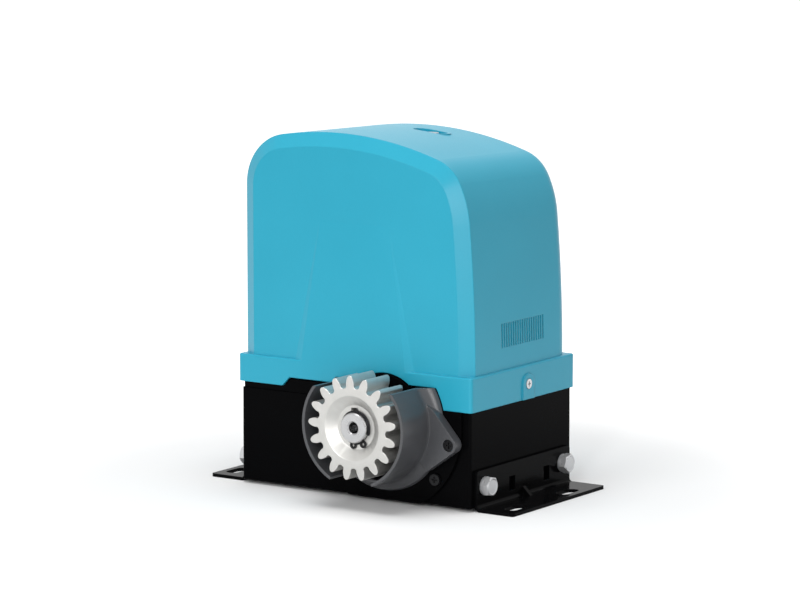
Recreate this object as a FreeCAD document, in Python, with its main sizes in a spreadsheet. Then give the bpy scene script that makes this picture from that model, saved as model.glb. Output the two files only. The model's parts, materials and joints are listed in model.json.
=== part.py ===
import FreeCAD, Part
import math
import os
import re
import Sketcher
from FreeCAD import Placement, Rotation, Vector

# Sliding gate motor.  Millimetres, +Z up, -Y is the pinion side.
# The origin is the middle of the whole footprint, on the foundation.

SIZES = {
    # base casting
    "base_length": 202, "base_depth": 135, "base_gap": 2.5, "base_wall": 4,
    "base_corner": 1.6, "base_edge": 1, "ledge_height": 72.1, "rim_height": 9.9,
    "rim_gap": 0.3, "rim_corner": 1.5, "boss_width": 12, "boss_depth": 9,
    # moulded cover
    "cover_gap": 0.3, "cover_wall": 2.5, "skirt_overhang": 1.9, "skirt_height": 25,
    "skirt_corner": 2.4, "skirt_edge": 1.2, "cover_step": 2.3,
    "crown_height": 265.2, "crown_fall": 4, "crown_apex": -21.4, "crown_radius": 290,
    "left_shoulder": 38.5, "right_shoulder": 32, "right_haunch": 80,
    "haunch_drop": 59.2, "haunch_lean": 5,
    "band_width": 10.3, "band_depth": 6.3, "band_edge": 2.5, "rear_round": 15,
    "bulge_foot": 53, "bulge_flank": 7, "bulge_drop": 64.2, "bulge_apex": 30.5,
    # cut-outs in the skirt
    "step_rise": 4.5, "step_x": -63.1, "notch_x": -56.8, "notch_rise": 11.1,
    "arch_radius": 34.5, "sweep_radius": 52,
    # vents
    "vent_count": 19, "vent_pitch": 3.05, "vent_width": 1.5, "vent_rise": 16.2,
    "vent_height": 17.6, "vent_shift": 2.2,
    # cover screws and their pads
    "pad_width": 15.5, "pad_raise": 1, "pad_y": 5.5, "pad_rise": 11.2,
    "screw_head": 3.6, "screw_head_height": 2.2, "screw_shank": 2,
    "cover_screw_length": 11, "screw_sink": 2,
    # key port in the crown
    "port_x": 8, "port_back": 36, "port_radius": 6.5, "port_length": 28,
    "port_depth": 2.5, "plug_radius": 5.5, "plug_length": 7,
    # output shaft and pinion
    "shaft_x": 28.5, "shaft_z": 60.5, "pinion_reach": 44, "pinion_width": 28.5,
    "pinion_teeth": 17, "pinion_module": 4, "pinion_turn": 2.85, "pressure_angle": 20,
    "tip_round": 1.3, "hub_radius": 20, "hub_gap": 0.5,
    "dish_radius": 23.5, "dish_floor": 16, "dish_depth": 5.8,
    "nose_radius": 11, "nose_setback": 1.3, "journal_radius": 12.5, "tail_radius": 10,
    "nose_hole": 4, "nose_hole_depth": 20, "running_gap": 0.03,
    "pinion_key": 6, "wheel_key": 8, "key_sink": 3.5, "key_inset": 4, "clip_width": 1.2,
    "clip_radius": 13.4, "clip_groove": 10.4, "clip_gap": 5, "clip_lug": 2.4,
    # gearbox
    "boss_radius": 66, "boss_height": 2.5, "hub_disc_radius": 33.8, "hub_rise": 1.5,
    "seat_ring": 51.6, "seat_rise": 10.7, "gear_case_wall": 3.5, "case_back": 5,
    "lid_front": 3.55, "lid_back": 10.45, "wheel_width": 22, "wheel_gap": 3,
    "wheel_teeth": 31, "worm_module": 3, "worm_pitch_radius": 13.5, "backlash": 0.5,
    "worm_length": 46, "worm_bore": 18.5, "tower_radius": 27.5,
    "lid_screw_circle": 59, "lid_screw_angle": 41,
    "case_foot_width": 70, "case_foot_height": 12, "deck_pad_width": 46,
    "deck_pad_depth": 30, "deck_pad_shift": 4, "boss_wall": 5,
    # bearings and seal
    "front_bearing_radius": 26, "front_bearing_width": 15, "bearing_setback": 8,
    "spacer_length": 6.85, "spacer_wall": 3.5, "float_gap": 0.2, "seal_radius": 20,
    "seal_width": 7, "rear_bearing_radius": 23.5, "rear_bearing_width": 14,
    "low_bearing_radius": 17.5, "low_bearing_width": 11, "low_journal": 7.5,
    "low_bearing_z": 17,
    # motor
    "motor_room": 3.55, "motor_wall": 4, "flange_z": 110, "flange_thick": 6,
    "cup_height": 18, "air_gap": 0.4, "stator_thick": 19.2,
    "rotor_shaft": 8, "winding_height": 11, "winding_gap": 3, "shield_height": 14,
    "shield_thick": 5, "fan_setback": 9, "fan_lift": 18, "fan_height": 15,
    "fan_blades": 9, "fan_disc": 1.6, "fan_hub": 10, "fan_bore": 6, "cover_room": 30.2,
    # manual release
    "spindle_radius": 5, "spindle_foot": 8, "spindle_collar": 8, "collar_height": 4,
    "guide_radius": 9, "guide_height": 24, "guide_lift": 6, "spindle_gap": 12,
    "spindle_socket": 6, "socket_depth": 8,
    # pinion guard
    "guard_radius": 43.9, "guard_wall": 2.2, "guard_foot": 51.5, "guard_flare": 10.5,
    "guard_rise": 27.5, "guard_setback": 0.6, "drain_depth": 27, "lug_thick": 8,
    "lug_x": 60, "lug_z": -11.4, "lug_round": 6.5, "lug_sink": 3.5,
    "guard_screw_head": 4.2,
    # feet
    "foot_length": 125.4, "foot_reach": 33.1, "foot_height": 29.5, "foot_thick": 2.5,
    "foot_bend": 2.5, "foot_corner": 2.5, "bolt_y": 53.5, "bolt_z": 17.8,
    "bolt_radius": 4, "bolt_flats": 13, "bolt_head": 5, "bolt_chamfer": 0.9,
    "nut_height": 6.5, "washer_radius": 8, "washer_thick": 1.6, "bolt_end": 3,
    "slot_half_width": 5, "slot_length": 22, "slot_front": -43, "slot_rear": 27,
    "slot_x": 23, "window_width": 8, "window_height": 10.5, "window_low": 8.5,
    "window_front": -16, "window_rear": 30.5, "gusset_size": 6.5, "gusset_width": 3.6,
    # electrics
    "deck_z": 116, "deck_thick": 1.5, "deck_left": 19, "deck_margin": 3.1,
    "deck_overhang": 2, "leg_width": 14, "leg_inset": 12, "board_thick": 1.6, "board_back": 16,
    "board_left": 49, "board_right": 17, "board_room": 59.7, "board_edge": 2,
    "core_width": 44, "core_depth": 50, "core_height": 34, "core_right": 13,
    "core_front": 12, "coil_side": 6, "coil_depth": 30,
    "capacitor_gap": 5.3, "capacitor_right": 31, "capacitor_room": 75.7,
    "relay_width": 14, "relay_depth": 15, "relay_height": 15, "relay_gap": 1,
    "relay_lift": 50, "terminal_length": 30, "terminal_depth": 12,
    "terminal_height": 10, "terminal_lift": 8, "sensor_width": 30,
    "sensor_depth": 9, "sensor_height": 22,
    # cable inlet
    "gland_inset": 28, "gland_flange": 12, "gland_neck": 9, "gland_hole": 5,
    "gland_lip": 3,
}

# Places worked out from the sizes above.
LAYOUT = {
    "base_y": "(pinion_reach - skirt_overhang) / 2",
    "front_y": "base_y - base_depth / 2",
    "half_x": "base_length / 2",
    "half_y": "base_depth / 2",
    "floor_z": "base_gap + base_wall",
    "rim_top": "ledge_height + rim_height",
    "skirt_low": "ledge_height + cover_gap",
    "skirt_top": "skirt_low + skirt_height",
    "skirt_half_x": "half_x + skirt_overhang",
    "skirt_half_y": "half_y + skirt_overhang",
    "rim_inset": "cover_wall - skirt_overhang + rim_gap",
    "body_half_x": "skirt_half_x - cover_step",
    "body_half_y": "skirt_half_y - cover_step",
    "panel_y": "base_y - body_half_y",
    "haunch_height": "crown_height - haunch_drop",
    "bulge_top": "crown_height - bulge_drop",
    "step_height": "skirt_low + step_rise",
    "notch_height": "skirt_low + notch_rise",
    "vent_low": "skirt_top + vent_rise",
    "pad_z": "skirt_low + pad_rise",
    "screw_seat": "skirt_half_x + pad_raise - screw_sink",
    "boss_face": "front_y - boss_height",
    "hub_face": "boss_face - hub_rise",
    "pinion_front": "front_y - pinion_reach",
    "hub_back": "hub_face - hub_gap",
    "dish_y": "pinion_front + dish_depth",
    "nose_y": "pinion_front + nose_setback",
    "lid_y": "front_y + lid_front",
    "case_y": "front_y + lid_back",
    "bearing_y": "case_y + bearing_setback",
    "bearing_back": "bearing_y + front_bearing_width",
    "wheel_front": "bearing_back + float_gap + spacer_length",
    "wheel_y": "wheel_front + wheel_width / 2",
    "wheel_back": "wheel_front + wheel_width",
    "case_end": "wheel_back + wheel_gap",
    "rear_bearing_end": "case_end + rear_bearing_width",
    "wheel_pitch_radius": "wheel_teeth * worm_module / 2",
    "worm_x": "shaft_x - wheel_pitch_radius - worm_pitch_radius",
    "worm_root": "worm_pitch_radius - 1.2 * worm_module",
    "gear_case_radius": "shaft_z - floor_z",
    "chamber_radius": "gear_case_radius - gear_case_wall",
    "seat_top": "ledge_height + seat_rise",
    "high_bearing_z": "flange_z + flange_thick - wheel_gap * 2 - rear_bearing_width",
    "motor_radius": "wheel_y - panel_y - cover_wall - motor_room",
    "rotor_radius": "motor_radius - stator_thick",
    "fan_radius": "motor_radius - fan_setback",
    "stator_z": "flange_z + cup_height",
    "fan_z": "crown_height - cover_room - fan_height",
    "shield_z": "fan_z - fan_lift",
    "rotor_z": "shield_z - shield_height",
    "stator_height": "rotor_z - stator_z",
    "guard_front": "pinion_front + guard_setback",
    "guard_top": "shaft_z + guard_rise",
    "foot_x": "half_x + foot_thick",
    "deck_top": "deck_z + deck_thick",
    "deck_front": "case_y - deck_overhang",
    "deck_right": "body_half_x - cover_wall - deck_margin",
    "board_y": "base_y + half_y - board_back",
    "deck_end": "board_y + board_thick + board_edge",
    "core_x": "deck_right - core_right - core_width",
    "core_y": "case_y + core_front",
    "coil_y": "core_y + (core_depth - coil_depth) / 2",
    "capacitor_y": "(core_y + core_depth + board_y) / 2",
    "part_x": "worm_x + motor_radius + relay_gap",
    "gland_x": "-half_x + gland_inset",
    "gland_y": "base_y + half_y - gland_inset",
    "port_at_y": "wheel_y + port_back",
    "port_z": "crown_height - crown_radius + sqrt(crown_radius ^ 2 - (port_x - crown_apex) ^ 2)"
              " - crown_fall * (port_at_y - panel_y) / (2 * body_half_y)",
    "port_floor": "port_z - port_depth",
}

doc = FreeCAD.newDocument("sliding_gate_motor")
NODES = []


def make_sheets():
    """Fill one sheet with the driving sizes and one with the places that follow."""
    sizes = doc.addObject("Spreadsheet::Sheet", "Sizes")
    for row, (name, number) in enumerate(SIZES.items(), start=1):
        sizes.set("A%d" % row, name)
        sizes.set("B%d" % row, str(number))
        sizes.setAlias("B%d" % row, name)
    doc.recompute()
    layout = doc.addObject("Spreadsheet::Sheet", "Layout")
    for row, (name, formula) in enumerate(LAYOUT.items(), start=1):
        layout.set("A%d" % row, name)
        layout.setAlias("B%d" % row, name)
        layout.set("B%d" % row, "=" + named(formula))
        doc.recompute()
    return sizes, layout


def named(text):
    """Put the sheet's name before each size or place in an expression."""
    def sheet_of(match):
        word = match.group(0)
        if word in SIZES:
            return "Sizes." + word
        if word in LAYOUT:
            return "Layout." + word
        return word
    return re.sub(r"[a-z][a-z_]*", sheet_of, str(text))


def value(name):
    """The number that a size or place has now."""
    sheet = SIZES_SHEET if name in SIZES else LAYOUT_SHEET
    return float(getattr(sheet, name))


SIZES_SHEET, LAYOUT_SHEET = make_sheets()

# Where the circlip opens, in degrees from straight down towards +X, and its lugs.
CLIP_ANGLE = 32
LUG_SPREAD = 20

# Turns that send a piece's own Z along another axis.
TURNS = {
    "x": Rotation(Vector(0, 1, 0), 90),
    "y": Rotation(Vector(1, 0, 0), -90),
    "z": Rotation(),
}


def bind(thing, **formulas):
    for prop, text in formulas.items():
        thing.setExpression(prop, named(text))
    return thing


def place(thing, corner, along="z"):
    thing.Placement = Placement(Vector(), TURNS[along])
    for axis, text in zip("xyz", corner):
        thing.setExpression("Placement.Base." + axis, named(text))
    return thing


def box(name, size, corner):
    made = doc.addObject("Part::Box", name)
    bind(made, Length=size[0], Width=size[1], Height=size[2])
    return place(made, corner)


def cylinder(name, radius, length, corner, along="z"):
    made = doc.addObject("Part::Cylinder", name)
    bind(made, Radius=radius, Height=length)
    return place(made, corner, along)


def hexagon(name, flats, length, corner, along="z"):
    made = doc.addObject("Part::Prism", name)
    made.Polygon = 6
    bind(made, Circumradius="(%s) / sqrt(3)" % flats, Height=length)
    return place(made, corner, along)


def cone(name, side, corner):
    """The turned blank that chamfers a hexagon head's outer corners."""
    made = doc.addObject("Part::Cone", name)
    wide, narrow = "bolt_flats * 0.5 + 3 * bolt_chamfer", "bolt_flats * 0.5 - bolt_chamfer"
    low, high = (wide, narrow) if side > 0 else (narrow, wide)
    bind(made, Radius1=low, Radius2=high, Height="bolt_head")
    return place(made, corner, "x")


def common(name, first, second):
    made = doc.addObject("Part::MultiCommon", name)
    made.Shapes = [first, second]
    return made


def fuse(name, *parts):
    made = doc.addObject("Part::MultiFuse", name)
    made.Shapes = list(parts)
    return made


def group(name, parts):
    made = doc.addObject("Part::Compound", name)
    made.Links = list(parts)
    return made


def cut(name, base, *tools):
    made = doc.addObject("Part::Cut", name)
    made.Base = base
    made.Tool = tools[0] if len(tools) == 1 else fuse(name + "_tools", *tools)
    return made


def node(label, thing):
    """Name a finished piece; its label names its file."""
    thing.Label = label
    NODES.append(thing)
    return thing


# ---------------------------------------------------------------- sketches

def new_body(name):
    return doc.addObject("PartDesign::Body", name)


def sketch_on(body, plane, offset=(0, 0, 0)):
    """A sketch on one of the body's own planes, moved by three expressions."""
    made = body.newObject("Sketcher::SketchObject", body.Name + "Sketch")
    role = plane + "_Plane"
    origin = [f for f in body.Origin.OriginFeatures if f.Role == role][0]
    made.AttachmentSupport = (origin, [""])
    made.MapMode = "FlatFace"
    for axis, text in zip("xyz", offset):
        made.setExpression("AttachmentOffset.Base." + axis, named(text))
    return made


def rectangle(sketch, low_x, low_y, high_x, high_y):
    """A rectangle whose sides are bound to four expressions."""
    corners = [(0, 0), (10, 0), (10, 10), (0, 10)]
    for here, there in zip(corners, corners[1:] + corners[:1]):
        sketch.addGeometry(Part.LineSegment(Vector(*here, 0), Vector(*there, 0)))
    for side in range(4):
        sketch.addConstraint(Sketcher.Constraint("Coincident", side, 2, (side + 1) % 4, 1))
    for side, kind in enumerate(["Horizontal", "Vertical"] * 2):
        sketch.addConstraint(Sketcher.Constraint(kind, side))
    spots = [("DistanceX", 0, low_x), ("DistanceY", 0, low_y),
             ("DistanceX", 2, high_x), ("DistanceY", 2, high_y)]
    for kind, side, text in spots:
        number = sketch.addConstraint(Sketcher.Constraint(kind, -1, 1, side, 1, 5.0))
        sketch.setExpression("Constraints[%d]" % number, named(text))
    return sketch


def circle(sketch, x, y, radius):
    """A circle bound to three expressions."""
    made = sketch.addGeometry(Part.Circle(Vector(5, 5, 0), Vector(0, 0, 1), 5))
    spots = [("DistanceX", x), ("DistanceY", y)]
    for kind, text in spots:
        number = sketch.addConstraint(Sketcher.Constraint(kind, -1, 1, made, 3, 5.0))
        sketch.setExpression("Constraints[%d]" % number, named(text))
    number = sketch.addConstraint(Sketcher.Constraint("Radius", made, 5.0))
    sketch.setExpression("Constraints[%d]" % number, named(radius))
    return sketch


def outline(sketch, *steps):
    """A closed outline: each step is a corner, or a via-point and a corner for an arc."""
    start = steps[0]
    here = start
    for step in steps[1:] + (start,):
        if isinstance(step[0], tuple):
            via, there = step
            arc = Part.Arc(Vector(*here, 0), Vector(*via, 0), Vector(*there, 0))
            sketch.addGeometry(arc)
            here = there
        elif math.dist(here, step) > 1e-6:
            sketch.addGeometry(Part.LineSegment(Vector(*here, 0), Vector(*step, 0)))
            here = step
    return sketch


def pad(body, sketch, length, towards_normal=True):
    made = body.newObject("PartDesign::Pad", "Pad")
    made.Profile = sketch
    made.Reversed = not towards_normal
    bind(made, Length=length)
    return made


def pocket(body, sketch, length, towards_normal=False):
    """A pocket; it cuts against the sketch's normal unless told otherwise."""
    made = body.newObject("PartDesign::Pocket", "Pocket")
    made.Profile = sketch
    made.Reversed = towards_normal
    bind(made, Length=length)
    return made


def revolve(body, sketch, kind="PartDesign::Revolution"):
    """Turn a sketch about its own vertical axis."""
    made = body.newObject(kind, "Turned")
    made.Profile = sketch
    made.ReferenceAxis = (sketch, ["V_Axis"])
    made.Angle = 360
    return made


def round_edges(body, radius, chosen):
    """Fillet the edges of the body's tip for which chosen(edge) holds."""
    doc.recompute()
    base = body.Tip
    names = ["Edge%d" % (i + 1) for i, e in enumerate(base.Shape.Edges) if chosen(e)]
    made = body.newObject("PartDesign::Fillet", "Fillet")
    made.Base = (base, names)
    bind(made, Radius=radius)
    return made


def pattern(body, feature, sketch, count):
    """Repeat a feature evenly about the sketch's normal."""
    made = body.newObject("PartDesign::PolarPattern", "Pattern")
    made.Originals = [feature]
    made.Axis = (sketch, ["N_Axis"])
    made.Angle = 360
    made.Occurrences = int(count)
    body.Tip = made
    return made


def all_vertices(edge, axis, height, slack=0.01):
    """Whether an edge lies in the plane axis = height."""
    return all(abs(getattr(v.Point, axis) - height) < slack for v in edge.Vertexes)


def is_upright(edge):
    """Whether an edge is a straight one along Z."""
    low, high = edge.Vertexes[0].Point, edge.Vertexes[-1].Point
    return abs(low.z - high.z) > 1 and math.dist(low[:2], high[:2]) < 0.01


def polar(radius, degrees):
    turn = math.radians(degrees)
    return (radius * math.cos(turn), radius * math.sin(turn))


# ------------------------------------------------------------------- cover

def meeting(a, ra, b, rb, side):
    """Where two circles meet; side picks the left (1) or right (-1) of a to b."""
    dx, dy = b[0] - a[0], b[1] - a[1]
    gap = math.hypot(dx, dy)
    along = (ra * ra - rb * rb + gap * gap) / (2 * gap)
    across = side * math.sqrt(ra * ra - along * along)
    return (a[0] + (along * dx - across * dy) / gap, a[1] + (along * dy + across * dx) / gap)


def beyond(centre, through, radius):
    """The point at a radius from centre, towards another point."""
    reach = math.dist(centre, through)
    return tuple(c + radius * (t - c) / reach for c, t in zip(centre, through))


def middle(centre, a, b, radius):
    """The point of an arc halfway between a and b."""
    return beyond(centre, ((a[0] + b[0]) / 2, (a[1] + b[1]) / 2), radius)


def crown_outline(sketch, inset, drop, foot):
    """Front view of the cover's body: tangent arcs, inset by a wall and lowered by drop.

    Left wall, left shoulder, crown, right shoulder, haunch and leaning right wall.
    """
    half = value("body_half_x")
    top, apex, big = value("crown_height"), value("crown_apex"), value("crown_radius")
    crown = (apex, top - big)
    left_r, right_r, haunch_r = (value(n) for n in ("left_shoulder", "right_shoulder",
                                                    "right_haunch"))
    rise, lean = value("haunch_height") - value("skirt_top"), value("haunch_lean")
    wall_r = (lean * lean + rise * rise) / (2 * lean)
    wall = (half - wall_r, value("skirt_top"))
    left_x = -half + left_r
    left = (left_x, crown[1] + math.sqrt((big - left_r) ** 2 - (left_x - apex) ** 2))
    haunch_end = (half - lean, value("haunch_height"))
    haunch = beyond(haunch_end, wall, haunch_r)
    right = meeting(crown, big - right_r, haunch, haunch_r - right_r, -1)
    arcs = [
        (left, left_r, (-half, left[1]), beyond(crown, left, big)),
        (crown, big, beyond(crown, left, big), beyond(crown, right, big)),
        (right, right_r, beyond(crown, right, big), beyond(haunch, right, haunch_r)),
        (haunch, haunch_r, beyond(haunch, right, haunch_r), haunch_end),
        (wall, wall_r, haunch_end, (half, value("skirt_top"))),
    ]
    lower = lambda p: (p[0], p[1] - drop)
    steps = [(-half + inset, foot)]
    for number, (centre, radius, start, end) in enumerate(arcs):
        start, end = (beyond(centre, p, radius - inset) for p in (start, end))
        via = middle(centre, start, end, radius - inset)
        if number == 0:
            steps.append(lower(start))
        steps.append((lower(via), lower(end)))
    steps.append((half - inset, foot))
    return outline(sketch, *steps)


def crown_body(name, inset, front, band_inset, band_end, rear, rear_round):
    """The cover's domed body, or its hollow: a bevelled front band and a straight run."""
    body = new_body(name)
    fall = value("crown_fall") / (2 * value("body_half_y"))
    foot = value("skirt_top") - value("skirt_height") / 2
    panel = value("panel_y")
    face, edge = [sketch_on(body, "XZ", (0, 0, -y)) for y in (front, band_end)]
    crown_outline(face, band_inset, fall * (front - panel), foot)
    crown_outline(edge, inset, fall * (band_end - panel), foot)
    band = body.newObject("PartDesign::AdditiveLoft", "Band")
    band.Profile = face
    band.Sections = [edge]
    band.Ruled = True
    run = pad(body, edge, "0", False)
    run.setExpression("Length", None)
    run.Length = rear - band_end
    run.UseCustomVector = True
    run.Direction = Vector(0, 1, -fall)
    run.Reversed = False
    run.AlongSketchNormal = True
    high = lambda e: max(v.Z for v in e.Vertexes) > foot + 1
    if rear_round:
        round_edges(body, rear_round, lambda e: all_vertices(e, "y", rear) and high(e))
    return body


def make_cover():
    t, panel, half_y = value("cover_wall"), value("panel_y"), value("body_half_y")
    width, depth = value("band_width"), value("band_depth")
    rear = panel + 2 * half_y
    reach = 1 + t * math.hypot(1 / width, 1 / depth)
    form = crown_body("CoverForm", 0, panel, width, panel + depth, rear, "rear_round")
    hollow = crown_body("CoverHollow", t, panel + t, width * (reach - t / depth),
                        panel + depth * (reach - t / width), rear - t,
                        "rear_round - cover_wall")

    skirt = new_body("Skirt")
    plan = rectangle(sketch_on(skirt, "XY", (0, 0, "skirt_low")), "-skirt_half_x",
                     "base_y - skirt_half_y", "skirt_half_x", "base_y + skirt_half_y")
    pad(skirt, plan, "skirt_height")
    round_edges(skirt, "skirt_corner", is_upright)
    round_edges(skirt, "skirt_edge", lambda e: all_vertices(e, "z", value("skirt_top")))

    room = new_body("SkirtHollow")
    plan = rectangle(sketch_on(room, "XY", (0, 0, "skirt_low - 1")),
                     "-skirt_half_x + cover_wall", "base_y - skirt_half_y + cover_wall",
                     "skirt_half_x - cover_wall", "base_y + skirt_half_y - cover_wall")
    pad(room, plan, "skirt_height + 1 - cover_wall")
    round_edges(room, "rim_corner", is_upright)

    bulge = make_bulge()
    pads = [make_screw_pad(side) for side in (1, -1)]
    solid = fuse("CoverSolid", form, skirt, bulge, *pads)
    shell = cut("CoverShell", solid, hollow, room)
    tools = [skirt_notch(), left_step(), *vent_slots(), *cover_screw_holes()]
    holed = cut("CoverHoled", shell, *tools)
    pan = long_round("PortPan", "port_radius + cover_wall", "port_depth + cover_wall / 2",
                     "port_floor - cover_wall")
    stem = cylinder("PortTube", "plug_radius + cover_wall", "plug_length",
                    ("port_x", "port_at_y", "port_floor - plug_length"))
    lipped = fuse("CoverLipped", holed, pan, stem)
    port = cylinder("PortBore", "plug_radius", "2 * plug_length",
                    ("port_x", "port_at_y", "port_floor - 1.5 * plug_length"))
    recess = long_round("PortRecess", "port_radius", "4 * port_depth", "port_floor")
    node("cover", cut("Cover", lipped, fuse("PortCut", port, recess)))


def long_round(name, radius, height, low):
    """A flat block with round ends, for the recess round the key port."""
    run = "port_length - 2 * port_radius"
    ends = [cylinder(name + "End", radius, height,
                     ("port_x + %g * (%s)" % (half, run), "port_at_y", low))
            for half in (-0.5, 0.5)]
    block = box(name + "Block", (run, "2 * (%s)" % radius, height),
                ("port_x - (%s) / 2" % run, "port_at_y - (%s)" % radius, low))
    return fuse(name, *ends, block)


def make_bulge():
    """The raised middle of the front panel, tapering out towards its top."""
    bulge = new_body("Bulge")
    sections = []
    spread = [("skirt_top - 2", value("bulge_foot"), value("bulge_flank"), value("cover_step")),
              ("bulge_top", value("bulge_apex"), 0.1, 0.05)]
    for height, half, flank, raised in spread:
        plan = sketch_on(bulge, "XY", (0, "panel_y", height))
        outline(plan, (-half, 1), (-half, 0), (-half + flank, -raised),
                (half - flank, -raised), (half, 0), (half, 1))
        sections.append(plan)
    loft = bulge.newObject("PartDesign::AdditiveLoft", "Loft")
    loft.Profile = sections[0]
    loft.Sections = sections[1:]
    return bulge


def make_screw_pad(side):
    """The raised pad round a cover screw, on the skirt's right or left side."""
    body = new_body("ScrewPad")
    start = "skirt_half_x - 1" if side > 0 else "-skirt_half_x - pad_raise"
    face = sketch_on(body, "YZ", (0, 0, start))
    half = value("pad_width") / 2
    y, z, low = value("base_y") + value("pad_y"), value("pad_z"), value("skirt_low")
    if side < 0:
        low = max(low, value("step_height"))
    outline(face, (y - half, low), (y + half, low), (y + half, z),
            ((y, z + half), (y - half, z)))
    pad(body, face, "pad_raise + 1")
    return body


def cover_screw_holes():
    holes = []
    for side in (1, -1):
        seat = "%d * screw_seat" % side
        for radius, back, ahead in (("screw_shank + rim_gap", "2 * cover_wall", "screw_sink"),
                                    ("screw_head + rim_gap", "0", "2 * screw_sink")):
            low = "%s - (%s)" % (seat, back if side > 0 else ahead)
            holes.append(cylinder("CoverScrewHole", radius, "%s + %s" % (back, ahead),
                                  (low, "base_y + pad_y", "pad_z"), "x"))
    return holes


def skirt_notch():
    """The opening in the skirt's front for the pinion, its hub and its guard."""
    body = new_body("Notch")
    face = sketch_on(body, "XZ", (0, 0, "-(panel_y + cover_wall + 1)"))
    x, z = value("shaft_x"), value("shaft_z")
    low = value("skirt_low") - 2
    arch, sweep = value("arch_radius"), value("sweep_radius")
    left_z, right_z = value("notch_height"), value("guard_top")
    across = lambda radius, height: math.sqrt(radius ** 2 - (height - z) ** 2)
    mid_z = (low + right_z) / 2
    outline(face, (value("step_x"), low), (value("step_x"), value("step_height")),
            (value("notch_x"), left_z), (x - across(arch, left_z), left_z),
            ((x, z + arch), (x + across(arch, right_z), right_z)),
            (x + across(sweep, right_z), right_z),
            ((x + across(sweep, mid_z), mid_z), (x + across(sweep, low), low)))
    pad(body, face, "10")
    return body


def left_step():
    """The skirt's left end stops a little higher than its right end."""
    return box("LeftStep", ("skirt_half_x + step_x + 1", "2 * skirt_half_y + 2",
                            "step_height - skirt_low + 2"),
               ("-skirt_half_x - 1", "base_y - skirt_half_y - 1", "skirt_low - 2"))


def vent_slots():
    """A row of upright slots on each side of the cover."""
    slots = []
    count = int(value("vent_count"))
    for side in (1, -1):
        for number in range(count):
            step = number - (count - 1) / 2
            slots.append(box("Vent", ("12", "vent_width", "vent_height"), (
                "%d * (body_half_x - 2) - 6" % side,
                "base_y + vent_shift + %g * vent_pitch - vent_width / 2" % step,
                "vent_low")))
    return slots


# -------------------------------------------------------------------- gears

def gap_outline(sketch, teeth, module, tip, root, slack, turn, rounding):
    """One gap between two involute teeth, centred on the angle turn."""
    pitch = teeth * module / 2
    pressure = math.radians(value("pressure_angle"))
    base = pitch * math.cos(pressure)
    involute = lambda angle: math.tan(angle) - angle

    def half_gap(radius):
        swing = math.acos(min(1, base / max(radius, base)))
        tooth = math.pi / (2 * teeth) + involute(pressure) - involute(swing)
        return math.degrees(math.pi / teeth - tooth + slack / 2 / pitch)

    low = max(base, root) + 0.02
    flank_top = tip - rounding
    shoulder = root + 0.45 * (low - root)
    spread = math.degrees(rounding / tip)

    def spot(radius, side, extra=0.0):
        return polar(radius, turn + side * (half_gap(radius) + extra))

    return outline(
        sketch, spot(tip + 2, 1, spread), spot(tip, 1, spread),
        (spot(tip - 0.3 * rounding, 1, 0.3 * spread), spot(flank_top, 1)),
        (spot((low + flank_top) / 2, 1), spot(low, 1)),
        spot(shoulder, 1),
        (polar(root, turn), spot(shoulder, -1)),
        spot(low, -1),
        (spot((low + flank_top) / 2, -1), spot(flank_top, -1)),
        (spot(tip - 0.3 * rounding, -1, 0.3 * spread), spot(tip, -1, spread)),
        spot(tip + 2, -1, spread))


def keyway(body, key_width, sink, radius, start, length):
    """A slot cut along the top of a shaft or bore, from below its surface upwards."""
    face = rectangle(sketch_on(body, "XZ", ("shaft_x", "shaft_z", "-(%s)" % start)),
                     "-%s / 2" % key_width, "%s - (%s)" % (radius, sink),
                     "%s / 2" % key_width, "%s + %s / 2" % (radius, key_width))
    return pocket(body, face, length, False)


def make_pinion():
    body = new_body("Pinion")
    teeth, module = value("pinion_teeth"), value("pinion_module")
    centre = ("shaft_x", "shaft_z")
    disc = circle(sketch_on(body, "XZ", (*centre, "-pinion_front")), "0", "0",
                  "pinion_module * (pinion_teeth / 2 + 1)")
    pad(body, disc, "pinion_width", False)
    hub = circle(sketch_on(body, "XZ", (*centre, "-pinion_front")), "0", "0", "hub_radius")
    pad(body, hub, "hub_back - pinion_front", False)
    face = sketch_on(body, "XZ", (*centre, "-pinion_front"))
    gap_outline(face, teeth, module, module * (teeth / 2 + 1), module * (teeth / 2 - 1.25),
                0.1, 90 - value("pinion_turn") + 180 / teeth, value("tip_round"))
    gap = pocket(body, face, "pinion_width", False)
    pattern(body, gap, face, teeth)
    dish = sketch_on(body, "XY", ("shaft_x", 0, "shaft_z"))
    front, floor = value("pinion_front"), value("dish_y")
    outline(dish, (0, front - 1), (value("dish_radius"), front - 1),
            (value("dish_radius"), front), (value("dish_floor"), floor), (0, floor))
    revolve(body, dish, "PartDesign::Groove")
    bore = circle(sketch_on(body, "XZ", (*centre, "-pinion_front")), "0", "0", "nose_radius")
    pocket(body, bore, "hub_back - pinion_front", False)
    keyway(body, "pinion_key", "0.5", "nose_radius", "dish_y", "hub_back - dish_y")
    node("pinion", body)


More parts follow.
